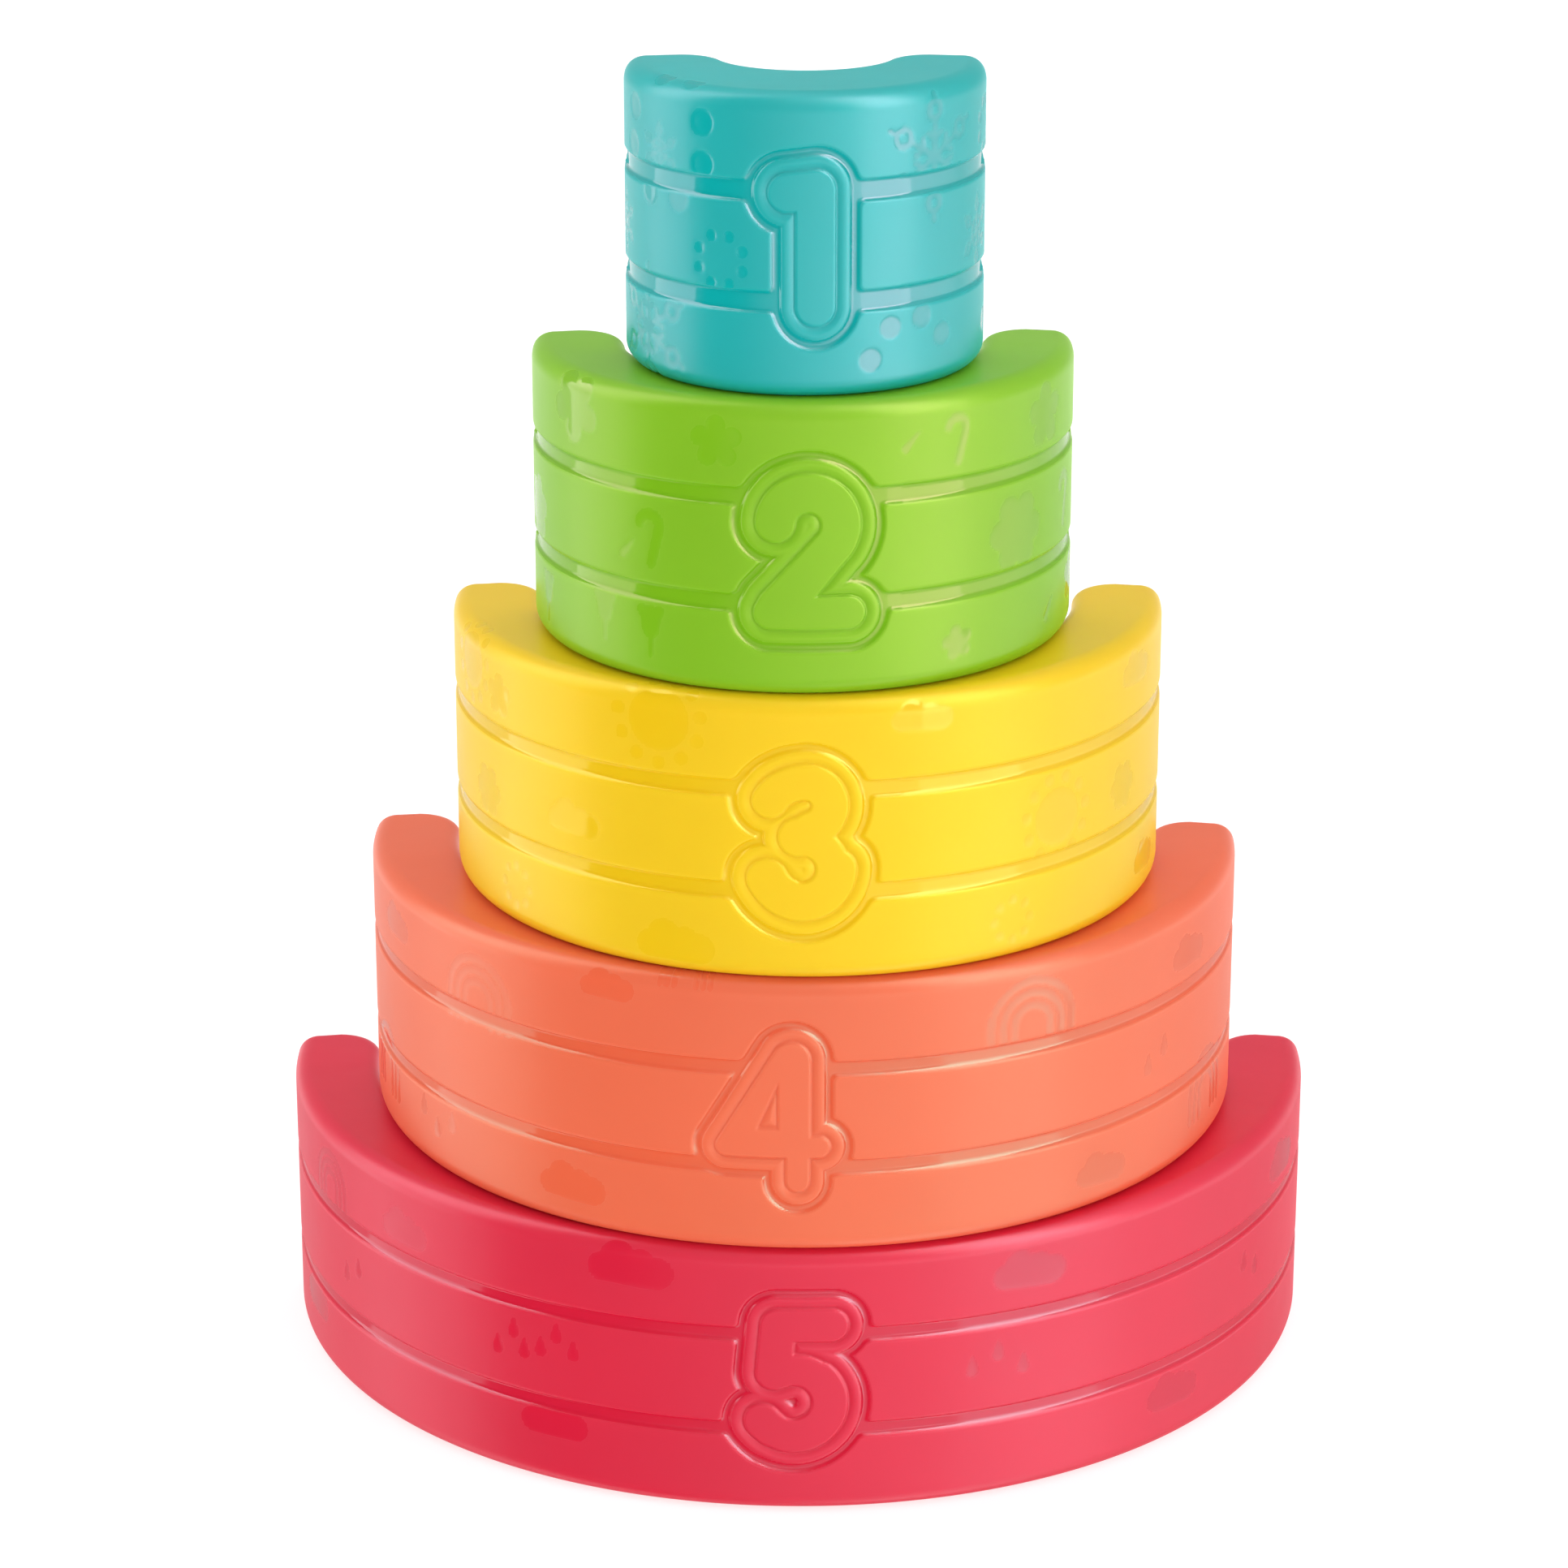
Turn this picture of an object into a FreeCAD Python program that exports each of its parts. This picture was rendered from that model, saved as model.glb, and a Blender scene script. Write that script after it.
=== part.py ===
import FreeCAD, Part
import math
import os

# Stacking tower of five hollow plastic arches. Each arch is half a ring with short straight legs,
# one sealed hollow moulding that lies on its side. The widest is at the bottom, the smallest on top.
# Millimetres. +X is to the right seen from the front, -Y is the front, +Z is up.

Vector = FreeCAD.Vector

# Driving dimensions
ARCH_COUNT = 5
WIDEST_RADIUS = 118.0    # outside radius of the widest arch
NEST_STEP = 20.25        # from one arch's outside radius to the next one's
NEST_GAP = 0.5           # play all round between an arch and the one nested inside it
ARCH_HEIGHT = 62.0       # of each arch as it lies, which is the depth of the nested rainbow
LEG_LENGTH = 7.0         # straight stretch behind the half ring
OUTER_CORNER_RADIUS = 5.0     # of the leg ends, seen from above
INNER_CORNER_RADIUS = 10.0
OUTER_EDGE_RADIUS = 4.0       # of the top and bottom edges
INNER_EDGE_RADIUS = 3.0
WALL = 2.2               # thickness of the hollow moulding

# Relief of the outer face: two bands all round, and an outlined number in front
RELIEF_DEPTH = 1.2
BAND_LEVEL = 0.3187      # height of the lower band over the arch's height, the upper one mirrors it
BAND_WIDTHS = {1: 4.2, 2: 3.7, 3: 3.6, 4: 3.2, 5: 3.1}
LINE_WIDTH = 1.0         # fine groove that draws the number
BEAD_WIDTH = 2.2         # raised bead around it
MOAT_WIDTH = 1.7         # groove around the bead, which the bands run into

# How each arch lies on the one below: to the right, ahead of the widest arch's front, and its turn
PLACES = {
    1: (0.9, -3.0, 0.0),
    2: (0.6, 0.0, 0.6),
    3: (1.8, 1.0, -0.4),
    4: (1.1, 1.0, -1.8),
    5: (0.0, 0.0, 0.0),
}
MOST_AHEAD = max(ahead for right, ahead, turn in PLACES.values())

# Numbers, drawn with round-ended strokes about the middle of the arch's front: x right, z up.
# ("line", x0, z0, half width there, x1, z1, half width there)
# ("arc", centre x, centre z, radius, from degrees, to degrees, half width)
# ("plate", the discs that it spans, each x, z, radius)
# ("hole", the points of the triangle)
NUMBERS = {
    1: [
        ("line", -3.7, 11.0, 3.75, 2.0, 11.65, 3.85),
        ("line", 2.0, 11.65, 3.85, 2.0, -12.0, 3.85),
    ],
    2: [
        ("arc", 0.27, 5.5, 6.75, -38, 176, 3.9),
        ("line", 5.4, 1.2, 3.85, -5.8, -12.0, 4.3),
        ("line", -7.45, -13.05, 3.3, 8.6, -13.05, 3.3),
    ],
    3: [
        ("arc", -0.3, 4.3, 8.65, 90, 149, 3.55),
        ("arc", -0.3, 7.8, 5.15, -75, 90, 3.65),
        ("line", -1.7, 1.0, 4.05, 1.0, 1.2, 3.8),
        ("arc", -1.0, -6.1, 6.4, 0, 90, 3.2),
        ("arc", -1.0, -6.1, 7.2, -120, 0, 4.0),
        ("arc", -0.1, -4.5, 9.0, -155, -120, 4.1),
    ],
    4: [
        ("plate", (0.05, 13.15, 3.9), (-13.85, -6.75, 2.05), (1.9, -6.75, 2.05)),
        ("hole", (-2.6, 8.5), (-7.5, -2.6), (-2.5, -2.6)),
        ("line", 1.4, -5.0, 2.35, 1.4, -14.3, 2.35),
        ("line", 1.4, -6.5, 2.3, 5.85, -6.5, 2.3),
    ],
    5: [
        ("line", -4.75, 13.5, 3.6, 6.7, 13.5, 3.6),
        ("line", -4.75, 13.5, 3.6, -5.65, 2.25, 3.75),
        ("line", -5.65, 2.25, 3.75, -2.75, 2.93, 3.45),
        ("arc", -1.4, -4.7, 7.75, 40, 100, 3.45),
        ("arc", -1.4, -4.7, 7.93, -125, 45, 3.7),
        ("arc", -0.5, -3.42, 9.5, -143, -125, 3.85),
    ],
}

# Worked out from the driving dimensions
THICKNESS = NEST_STEP - NEST_GAP
TINY = 0.001             # slack for comparing positions
SLIVER = 0.1             # an outline's edges shorter than this are dropped


def outer_radius(number):
    return WIDEST_RADIUS - NEST_STEP * (ARCH_COUNT - number)


# Shapes in the front plane, where a point is (x, z). Outlines run anticlockwise seen from the front.


def front_point(x, z, distance=0.0, degrees=0.0):
    """The point at a distance and direction from (x, z), in the plane y = 0."""
    angle = math.radians(degrees)
    return Vector(x + distance * math.cos(angle), 0, z + distance * math.sin(angle))


def disc(x, z, radius):
    return Part.Face(Part.Wire(Part.makeCircle(radius, Vector(x, 0, z), Vector(0, -1, 0))))


def polygon(points):
    return Part.Face(Part.makePolygon(points + points[:1]))


def outline(edges):
    return Part.Face(Part.Wire(edges))


def line_stroke(x0, z0, half0, x1, z1, half1):
    """A stroke with round ends, whose half width may change along it."""
    length = math.hypot(x1 - x0, z1 - z0)
    heading = math.degrees(math.atan2(z1 - z0, x1 - x0))
    lean = math.degrees(math.acos((half0 - half1) / length))
    right0, tip0, left0 = (front_point(x0, z0, half0, heading + turn) for turn in (-lean, 180, lean))
    right1, tip1, left1 = (front_point(x1, z1, half1, heading + turn) for turn in (-lean, 0, lean))
    return outline(
        [
            Part.makeLine(right0, right1),
            Part.Arc(right1, tip1, left1).toShape(),
            Part.makeLine(left1, left0),
            Part.Arc(left0, tip0, right0).toShape(),
        ]
    )


def arc_stroke(x, z, radius, start, end, half):
    """A stroke along an arc, with round ends. One wider than its arc also covers the arc's centre."""
    middle = (start + end) / 2
    outer = [front_point(x, z, radius + half, angle) for angle in (start, middle, end)]
    first = front_point(x, z, radius, start)
    last = front_point(x, z, radius, end)
    if half >= radius:
        centre = front_point(x, z)
        slice_edges = [
            Part.Arc(*outer).toShape(),
            Part.makeLine(outer[2], centre),
            Part.makeLine(centre, outer[0]),
        ]
        return [outline(slice_edges), disc(first.x, first.z, half), disc(last.x, last.z, half)]
    inner = [front_point(x, z, radius - half, angle) for angle in (end, middle, start)]
    first_tip = front_point(first.x, first.z, half, start - 90)
    last_tip = front_point(last.x, last.z, half, end + 90)
    return [
        outline(
            [
                Part.Arc(*outer).toShape(),
                Part.Arc(outer[2], last_tip, inner[0]).toShape(),
                Part.Arc(*inner).toShape(),
                Part.Arc(inner[2], first_tip, outer[0]).toShape(),
            ]
        )
    ]


def shrunk_hole(points, spread):
    """The triangular hole after its edges have moved inwards, or None once nothing is left."""
    opposite = [math.dist(points[i - 1], points[i - 2]) for i in range(len(points))]
    around = sum(opposite)
    corners = [Vector(x, 0, z) for x, z in points]
    inner_radius = 2 * polygon(corners).Area / around
    if spread >= inner_radius:
        return None
    centre = Vector()
    for side, corner in zip(opposite, corners):
        centre += corner * (side / around)
    keep = 1 - spread / inner_radius
    return polygon([centre + (corner - centre) * keep for corner in corners])


def plate(discs, spread):
    """A plate that spans three discs."""
    faces = [polygon([front_point(x, z) for x, z, radius in discs])]
    for i, (x, z, radius) in enumerate(discs):
        x0, z0, radius0 = discs[i - 1]
        faces.append(line_stroke(x0, z0, radius0 + spread, x, z, radius + spread))
    return faces


def without_slivers(wire):
    """The same outline of lines and arcs, less the tiny edges left where strokes meet in a tangent."""
    points = [vertex.Point for vertex in wire.OrderedVertexes]
    long_edges = []
    for edge, start, end in zip(wire.OrderedEdges, points, points[1:] + points[:1]):
        if edge.Length > SLIVER:
            long_edges.append((edge, start, end))
    joints = []
    for i, (_, _, end) in enumerate(long_edges):
        next_start = long_edges[(i + 1) % len(long_edges)][1]
        joints.append((end + next_start) / 2)
    edges = []
    for i, (edge, _, _) in enumerate(long_edges):
        start, end = joints[i - 1], joints[i]
        if isinstance(edge.Curve, Part.Circle):
            middle = edge.valueAt((edge.FirstParameter + edge.LastParameter) / 2)
            edges.append(Part.Arc(start, middle, end).toShape())
        else:
            edges.append(Part.makeLine(start, end))
    return Part.Wire(edges)


def number_region(number, spread):
    """The number's outline, spread outwards evenly all round."""
    faces = []
    opening = None
    for kind, *values in NUMBERS[number]:
        if kind == "line":
            x0, z0, half0, x1, z1, half1 = values
            faces.append(line_stroke(x0, z0, half0 + spread, x1, z1, half1 + spread))
        elif kind == "arc":
            x, z, radius, start, end, half = values
            faces += arc_stroke(x, z, radius, start, end, half + spread)
        elif kind == "plate":
            faces += plate(values, spread)
        else:
            opening = shrunk_hole(values, spread)
    drawn = faces[0].multiFuse(faces[1:]).removeSplitter()
    region = Part.makeFace([without_slivers(wire) for wire in drawn.Wires], "Part::FaceMakerBullseye")
    if opening:
        region = region.cut(opening)
    region.translate(Vector(0, 0, ARCH_HEIGHT / 2))
    return region


# Solids of one arch, about the centre of its half ring, with its base at z = 0


def half_round(radius, y_back, z, height):
    """A block with a half-round front, ending in a flat back at y_back."""
    front = Part.Arc(Vector(-radius, 0, z), Vector(0, -radius, z), Vector(radius, 0, z)).toShape()
    corners = [Vector(radius, 0, z), Vector(radius, y_back, z), Vector(-radius, y_back, z)]
    sides = [Part.makeLine(*pair) for pair in zip(corners, corners[1:] + [Vector(-radius, 0, z)])]
    return Part.Face(Part.Wire([front] + sides)).extrude(Vector(0, 0, height))


def rounded_arch(number, inset):
    """The arch's outer form, with every face moved inwards by inset."""
    height = ARCH_HEIGHT - 2 * inset
    leg_end = LEG_LENGTH - inset
    radius = outer_radius(number) - inset
    inner_radius = outer_radius(number) - THICKNESS + inset
    arch = half_round(radius, leg_end, inset, height)
    if number == 1:
        # The smallest has only a thumb recess, centred on the leg ends
        opening = Part.makeCylinder(inner_radius, height, Vector(0, LEG_LENGTH, inset))
    else:
        opening = half_round(inner_radius, LEG_LENGTH + 1, inset, height)
    arch = arch.cut(opening)
    outer_corners = []
    inner_corners = []
    for edge in arch.Edges:
        box = edge.BoundBox
        if box.ZLength > height / 2 and box.YMin > leg_end - TINY:
            corners = outer_corners if abs(box.XMin) > radius - TINY else inner_corners
            corners.append(edge)
    arch = arch.makeFillet(INNER_CORNER_RADIUS - inset, inner_corners)
    arch = arch.makeFillet(OUTER_CORNER_RADIUS - inset, outer_corners)
    if inset:
        rims = [edge for edge in arch.Edges if edge.BoundBox.ZLength < TINY]
        return arch.makeFillet(OUTER_EDGE_RADIUS - inset, rims)
    return with_rounded_rims(arch, radius)


def with_rounded_rims(arch, radius):
    """The same arch, its top and bottom edges rounded: more on the outer wall than round the opening."""
    rims = []
    for index, edge in enumerate(arch.Edges, 1):
        box = edge.BoundBox
        if box.ZLength > TINY:
            continue
        start, end = (edge.valueAt(place) for place in (edge.FirstParameter, edge.LastParameter))
        if box.YMin > LEG_LENGTH - TINY:
            outer_first = abs(start.x) > abs(end.x)
            radii = (OUTER_EDGE_RADIUS, INNER_EDGE_RADIUS)
            if not outer_first:
                radii = (INNER_EDGE_RADIUS, OUTER_EDGE_RADIUS)
        elif max(abs(box.XMin), abs(box.XMax)) > radius - TINY:
            radii = (OUTER_EDGE_RADIUS, OUTER_EDGE_RADIUS)
        else:
            radii = (INNER_EDGE_RADIUS, INNER_EDGE_RADIUS)
        rims.append((index, *radii))
    document = FreeCAD.newDocument()
    sharp = document.addObject("Part::Feature", "sharp")
    sharp.Shape = arch
    rounded = document.addObject("Part::Fillet", "rounded")
    rounded.Base = sharp
    rounded.Edges = rims
    document.recompute()
    shape = rounded.Shape.copy()
    FreeCAD.closeDocument(document.Name)
    return shape


def relief(number):
    """What is cut from the outer face: the bands, and the lines of the number."""
    radius = outer_radius(number)
    half_band = BAND_WIDTHS[number] / 2
    reach = radius + 2
    band_faces = []
    for level in (BAND_LEVEL, 1 - BAND_LEVEL):
        low, high = (level * ARCH_HEIGHT + side for side in (-half_band, half_band))
        ends = [Vector(x, 0, z) for x, z in ((-reach, low), (reach, low), (reach, high), (-reach, high))]
        band_faces.append(polygon(ends))
    bead_edge = LINE_WIDTH + BEAD_WIDTH
    moat = number_region(number, bead_edge + MOAT_WIDTH).multiFuse(band_faces)
    moat = moat.cut(number_region(number, bead_edge))
    line = number_region(number, LINE_WIDTH).cut(number_region(number, 0))
    stop = LEG_LENGTH - OUTER_CORNER_RADIUS
    drawn = Part.makeCompound([moat, line])
    drawn.translate(Vector(0, stop, 0))
    through = drawn.extrude(Vector(0, -reach - stop, 0))
    skin = half_round(radius + 1, stop, 0, ARCH_HEIGHT)
    skin = skin.cut(half_round(radius - RELIEF_DEPTH, stop, 0, ARCH_HEIGHT))
    return through.common(skin)


def stacked_arch(number):
    """The finished arch where it stands in the tower, whose origin is under its middle."""
    arch = rounded_arch(number, 0).cut(rounded_arch(number, WALL)).cut(relief(number))
    right, ahead, turn = PLACES[number]
    tower_middle = (LEG_LENGTH - WIDEST_RADIUS - MOST_AHEAD) / 2
    centre_y = outer_radius(number) - WIDEST_RADIUS - ahead - tower_middle
    arch.rotate(Vector(), Vector(0, 0, 1), turn)
    arch.translate(Vector(right, centre_y, ARCH_HEIGHT * (ARCH_COUNT - number)))
    return arch


def main():
    os.makedirs("parts", exist_ok=True)
    for number in range(1, ARCH_COUNT + 1):
        arch = stacked_arch(number)
        solids = arch.Solids
        print(f"arch_{number}", len(solids), "solid", arch.isValid(), round(arch.Volume), "mm3")
        solids[0].exportStep(f"parts/arch_{number}.step")


main()
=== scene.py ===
import math

import bpy
import numpy as np
from mathutils import Matrix, Vector


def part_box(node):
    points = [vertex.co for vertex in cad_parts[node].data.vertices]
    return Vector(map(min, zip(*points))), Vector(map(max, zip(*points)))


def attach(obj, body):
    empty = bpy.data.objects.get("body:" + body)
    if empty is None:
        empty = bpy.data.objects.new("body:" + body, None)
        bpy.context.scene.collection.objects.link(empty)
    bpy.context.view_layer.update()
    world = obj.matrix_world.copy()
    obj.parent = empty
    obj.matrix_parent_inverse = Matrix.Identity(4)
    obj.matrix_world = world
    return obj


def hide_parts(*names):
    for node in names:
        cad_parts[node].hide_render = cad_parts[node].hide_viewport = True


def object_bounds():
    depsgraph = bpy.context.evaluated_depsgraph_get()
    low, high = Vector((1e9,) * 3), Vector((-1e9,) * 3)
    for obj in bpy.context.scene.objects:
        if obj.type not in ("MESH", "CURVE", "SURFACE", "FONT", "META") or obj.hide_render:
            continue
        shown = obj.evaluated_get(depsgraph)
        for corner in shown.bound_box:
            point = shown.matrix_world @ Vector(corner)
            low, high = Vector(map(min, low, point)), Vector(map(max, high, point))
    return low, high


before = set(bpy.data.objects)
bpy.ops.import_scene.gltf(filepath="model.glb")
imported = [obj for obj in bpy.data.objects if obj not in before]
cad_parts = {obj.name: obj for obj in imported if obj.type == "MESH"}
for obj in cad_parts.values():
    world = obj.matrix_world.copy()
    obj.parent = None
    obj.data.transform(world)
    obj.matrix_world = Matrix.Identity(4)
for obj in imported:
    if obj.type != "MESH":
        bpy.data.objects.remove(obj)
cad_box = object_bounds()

# Stacking tower of five hollow plastic arches. Each arch is one smooth moulded skin: a satin surface
# with two polished bands, an outlined number and small polished pictures pressed into its outer face.
# Shapes are worked out in millimetres about the centre of each arch's half ring, with the front at -Y,
# and go into the frame's metres at the end.

MM = 0.001

# The arch's form, the same for all five
ARCH_COUNT = 5
LEG_LENGTH = 7.0         # straight stretch behind the half ring
THICKNESS = 19.75        # from outer to inner wall
OUTER_CORNER_RADIUS = 5.0     # of the leg ends, seen from above
INNER_CORNER_RADIUS = 10.0
OUTER_EDGE_RADIUS = 4.0       # of the top and bottom edges
INNER_EDGE_RADIUS = 3.0
TURNS = {1: 0.0, 2: 0.6, 3: -0.4, 4: -1.8, 5: 0.0}    # degrees, as each lies on the one below

# Relief of the outer face
RELIEF_DEPTH = 0.85
BAND_LEVEL = 0.3187      # height of the lower band over the arch's height, the upper one mirrors it
BAND_WIDTHS = {1: 4.2, 2: 3.7, 3: 3.6, 4: 3.2, 5: 3.1}
BAND_TAPER = 1.5         # how far a band's edges draw in at its end
BAND_TAPER_START = 1.5   # past the half ring
BAND_DEPTH_END = 2.0     # where its depth starts to run out, past the half ring
BAND_FADE = 2.5          # over which both happen
LINE_WIDTH = 1.0         # fine groove that draws the number
LINE_DEPTH = 0.6
LINE_SLOPE = 0.62        # of its width, taken up by each sloping side
BEAD_WIDTH = 2.2         # raised bead around it
BEAD_CROWN = 0.3         # how much the bead's sides fall away from its middle
CROWN_MARGIN = 0.3       # the crown starts this far inside the bead and stops this far outside it
CROWN_START = 0.4        # over which it starts
CROWN_STOP = 0.5         # and stops
MOAT_WIDTH = 1.7         # groove around the bead, which the bands run into
WALL_RUN = 1.0           # width of a groove's sloping wall
JOIN_RADIUS = 1.2        # softens the corners where the bands meet the moat
PICTURE_DEPTHS = {1: 0.15, 2: 0.07, 3: 0.06, 4: 0.05, 5: 0.05}
PICTURE_RUN = 0.7        # width of a picture's sloping wall
PICTURE_CLEARANCE = 0.2  # pictures stop where the rest of the relief is deeper than this
POLISH_FROM = 0.2        # share of a groove's depth at which its polish starts
POLISH_RUN = 0.4         # and over which it becomes full
FRONT_SHARE = 0.7        # of the quarter ring, the part that faces far enough forward for the number
FAR = 99.0               # clear of every line, band and picture

# Mesh spacing
NUMBER_REACH = 20.0      # half of the widest number with its moat
PICTURE_REACH = 7.8      # half of a wide picture
LEG_REACH = 2.0          # how far before the legs their spacing starts
NUMBER_SPACING = 0.28
PICTURE_SPACING = 0.6
LEG_SPACING = 0.8
PLAIN_SPACING = 2.0
HEIGHT_SPACING = 0.34    # up the wall
BAND_EDGE_SPACING = 0.14
NUMBER_SPREAD = 0.08     # how fast the spacing grows with the distance from a number
PICTURE_SPREAD = 0.25    # from a picture
BAND_SPREAD = 0.1        # and from a band's edge
FILLET_STEPS = 16
FLAT_RIM = 0.4           # flat strip that carries on the rounded edge, for clean shading
INNER_LEVEL = 5          # coarsest mesh level, used round the opening

# Numbers, drawn with round-ended strokes about the middle of the arch's front: x right, z up.
# ("line", x0, z0, half width there, x1, z1, half width there)
# ("arc", centre x, centre z, radius, from degrees, to degrees, half width)
# ("plate", the discs that it spans, each x, z, radius)
# ("hole", the points of the triangle)
NUMBERS = {
    1: [
        ("line", -3.7, 11.0, 3.75, 2.0, 11.65, 3.85),
        ("line", 2.0, 11.65, 3.85, 2.0, -12.0, 3.85),
    ],
    2: [
        ("arc", 0.27, 5.5, 6.75, -38, 176, 3.9),
        ("line", 5.4, 1.2, 3.85, -5.8, -12.0, 4.3),
        ("line", -7.45, -13.05, 3.3, 8.6, -13.05, 3.3),
    ],
    3: [
        ("arc", -0.3, 4.3, 8.65, 90, 149, 3.55),
        ("arc", -0.3, 7.8, 5.15, -75, 90, 3.65),
        ("line", -1.7, 1.0, 4.05, 1.0, 1.2, 3.8),
        ("arc", -1.0, -6.1, 6.4, 0, 90, 3.2),
        ("arc", -1.0, -6.1, 7.2, -120, 0, 4.0),
        ("arc", -0.1, -4.5, 9.0, -155, -120, 4.1),
    ],
    4: [
        ("plate", (0.05, 13.15, 3.9), (-13.85, -6.75, 2.05), (1.9, -6.75, 2.05)),
        ("hole", (-2.6, 8.5), (-7.5, -2.6), (-2.5, -2.6)),
        ("line", 1.4, -5.0, 2.35, 1.4, -14.3, 2.35),
        ("line", 1.4, -6.5, 2.3, 5.85, -6.5, 2.3),
    ],
    5: [
        ("line", -4.75, 13.5, 3.6, 6.7, 13.5, 3.6),
        ("line", -4.75, 13.5, 3.6, -5.65, 2.25, 3.75),
        ("line", -5.65, 2.25, 3.75, -2.75, 2.93, 3.45),
        ("arc", -1.4, -4.7, 7.75, 40, 100, 3.45),
        ("arc", -1.4, -4.7, 7.93, -125, 45, 3.7),
        ("arc", -0.5, -3.42, 9.5, -143, -125, 3.85),
    ],
}

# Plastic of each arch: linear colour, and the tint of its reflections
COLOURS = {
    1: (0.004, 0.380, 0.372),
    2: (0.198, 0.460, 0.012),
    3: (0.795, 0.515, 0.010),
    4: (0.765, 0.130, 0.058),
    5: (0.640, 0.014, 0.044),
}
TINTS = {
    1: (1.00, 0.72, 0.96),
    2: (1.00, 0.55, 0.46),
    3: (1.00, 1.00, 0.35),
    4: (0.10, 1.00, 0.75),
    5: (0.45, 0.75, 0.85),
}


# Distances to shapes on the arch's front, negative inside. x and z are arrays of equal shape.


def line_distance(x, z, x0, z0, half0, x1, z1, half1):
    """A stroke with round ends, whose half width may change along it."""
    length = math.hypot(x1 - x0, z1 - z0)
    ux, uz = (x1 - x0) / length, (z1 - z0) / length
    along = (x - x0) * ux + (z - z0) * uz
    aside = np.abs((x - x0) * uz - (z - z0) * ux)
    lean = (half0 - half1) / length
    upright = math.sqrt(1 - lean * lean)
    reach = upright * along - lean * aside
    distance = upright * aside + lean * along - half0
    distance = np.where(reach < 0, np.hypot(along, aside) - half0, distance)
    return np.where(reach > upright * length, np.hypot(along - length, aside) - half1, distance)


def arc_distance(x, z, x0, z0, radius, start, end, half):
    """A stroke along an arc, with round ends."""
    ends = []
    for degrees in (start, end):
        angle = math.radians(degrees)
        ends.append(np.hypot(x - x0 - radius * math.cos(angle), z - z0 - radius * math.sin(angle)))
    on_arc = np.abs(np.hypot(x - x0, z - z0) - radius)
    past_start = np.mod(np.degrees(np.arctan2(z - z0, x - x0)) - start, 360)
    return np.where(past_start <= end - start, on_arc, np.minimum(*ends)) - half


def inside_polygon(x, z, points):
    """Distance to the nearest edge of a convex polygon given anticlockwise, positive outside."""
    distance = np.full(x.shape, -np.inf)
    for (x0, z0), (x1, z1) in zip(points, points[1:] + points[:1]):
        length = math.hypot(x1 - x0, z1 - z0)
        aside = ((x - x0) * (z1 - z0) - (z - z0) * (x1 - x0)) / length
        distance = np.maximum(distance, aside)
    return distance


def number_distance(number, x, z):
    distance = np.full(x.shape, np.inf)
    hole = None
    for kind, *values in NUMBERS[number]:
        if kind == "line":
            distance = np.minimum(distance, line_distance(x, z, *values))
        elif kind == "arc":
            distance = np.minimum(distance, arc_distance(x, z, *values))
        elif kind == "plate":
            centres = [(x0, z0) for x0, z0, radius in values]
            inner = inside_polygon(x, z, centres)
            distance = np.where(inner < 0, np.minimum(distance, inner), distance)
            for (x0, z0, half0), (x1, z1, half1) in zip(values, values[1:] + values[:1]):
                distance = np.minimum(distance, line_distance(x, z, x0, z0, half0, x1, z1, half1))
        else:
            hole = -inside_polygon(x, z, values)
    return distance if hole is None else np.maximum(distance, hole)


# Pictures, pressed into the face: s is the distance round the arch's outside from the middle of its
# front, to the right, and z the height. Each drawing function gives a distance, negative inside.


def disc(s, z, s0, z0, radius):
    return np.hypot(s - s0, z - z0) - radius


def nearest(*distances):
    return np.minimum.reduce(distances)


def towards(point, degrees, distance):
    angle = math.radians(degrees)
    return point[0] + distance * math.cos(angle), point[1] + distance * math.sin(angle)


def around(s0, z0, radius, count, first=0.0):
    """Points spaced evenly round a circle, the first at an angle in degrees."""
    return [towards((s0, z0), first + 360 * i / count, radius) for i in range(count)]


def dot_ring(s, z, s0, z0, radius, dot, count, first=0.0):
    return nearest(*(disc(s, z, *point, dot) for point in around(s0, z0, radius, count, first)))


def flower(s, z, s0, z0, radius, petals, first):
    petal = dot_ring(s, z, s0, z0, radius * 0.68, radius * 0.38, petals, first)
    return nearest(petal, disc(s, z, s0, z0, radius * 0.62))


def cloud(s, z, s0, z0, width):
    """Three puffs on a flat-bottomed base."""
    base = line_distance(s, z, s0 - 0.30 * width, z0, 0.16 * width, s0 + 0.32 * width, z0, 0.18 * width)
    left = disc(s, z, s0 - 0.12 * width, z0 + 0.12 * width, 0.20 * width)
    right = disc(s, z, s0 + 0.14 * width, z0 + 0.08 * width, 0.17 * width)
    return nearest(base, left, right)


def drop(s, z, s0, z0, size):
    return line_distance(s, z, s0, z0, 0.3 * size, s0, z0 + 0.75 * size, 0.05 * size)


def snowflake(s, z, s0, z0, radius):
    """Six arms, each with a pair of barbs and a ring near its end."""
    thin = 0.045 * radius
    middle = (s0, z0)
    parts = []
    for heading in range(30, 390, 60):
        root, arm_end, ring, tip, tip_end = (
            towards(middle, heading, share * radius) for share in (0.28, 0.6, 0.78, 0.94, 1.08)
        )
        parts.append(line_distance(s, z, *middle, 1.3 * thin, *arm_end, thin))
        parts.append(np.abs(disc(s, z, *ring, 0.14 * radius)) - 1.2 * thin)
        parts.append(line_distance(s, z, *tip, thin, *tip_end, thin))
        for side in (-50, 50):
            barb_end = towards(root, heading + side, 0.2 * radius)
            parts.append(line_distance(s, z, *root, thin, *barb_end, thin))
    return nearest(*parts)


def sun(s, z, s0, z0, radius):
    return nearest(disc(s, z, s0, z0, radius), dot_ring(s, z, s0, z0, 1.42 * radius, 0.2 * radius, 11, 8))


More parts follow.
